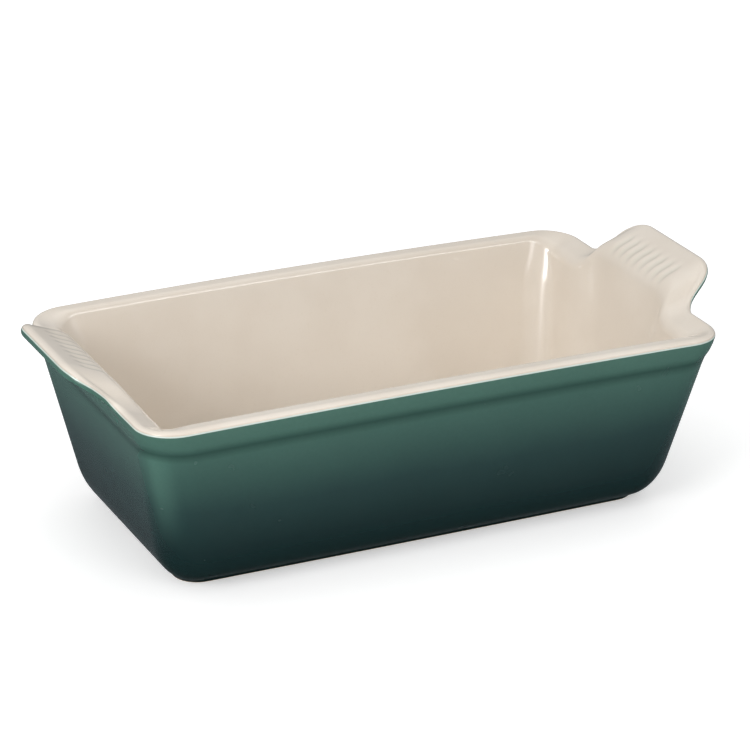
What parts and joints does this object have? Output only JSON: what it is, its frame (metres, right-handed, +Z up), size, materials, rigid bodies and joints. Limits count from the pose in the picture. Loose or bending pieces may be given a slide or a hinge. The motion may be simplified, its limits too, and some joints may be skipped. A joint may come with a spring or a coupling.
{
  "type": "loaf pan",
  "caption": "Rectangular stoneware loaf pan with drafted walls, a banded rim, a foot ring and curled end handles with ribbed grips, glazed inside and out.",
  "frame": {"origin": "middle of the foot ring's bearing face, on the surface that the pan stands on", "axes": "+Z up, X from handle to handle, Y across the pan"},
  "size_m": [0.3034, 0.1548, 0.0985],
  "materials": {
    "fired_clay": "bare fired stoneware, matt, pale buff",
    "cream_glaze": "glossy cream glaze",
    "green_glaze": "glossy green glaze that darkens to blue-black towards the foot"
  },
  "bodies": {
    "root": {"stoneware_body": "fired_clay", "interior_glaze": "cream_glaze", "exterior_glaze": "green_glaze", "underside_glaze": "green_glaze"}
  },
  "joints": []
}
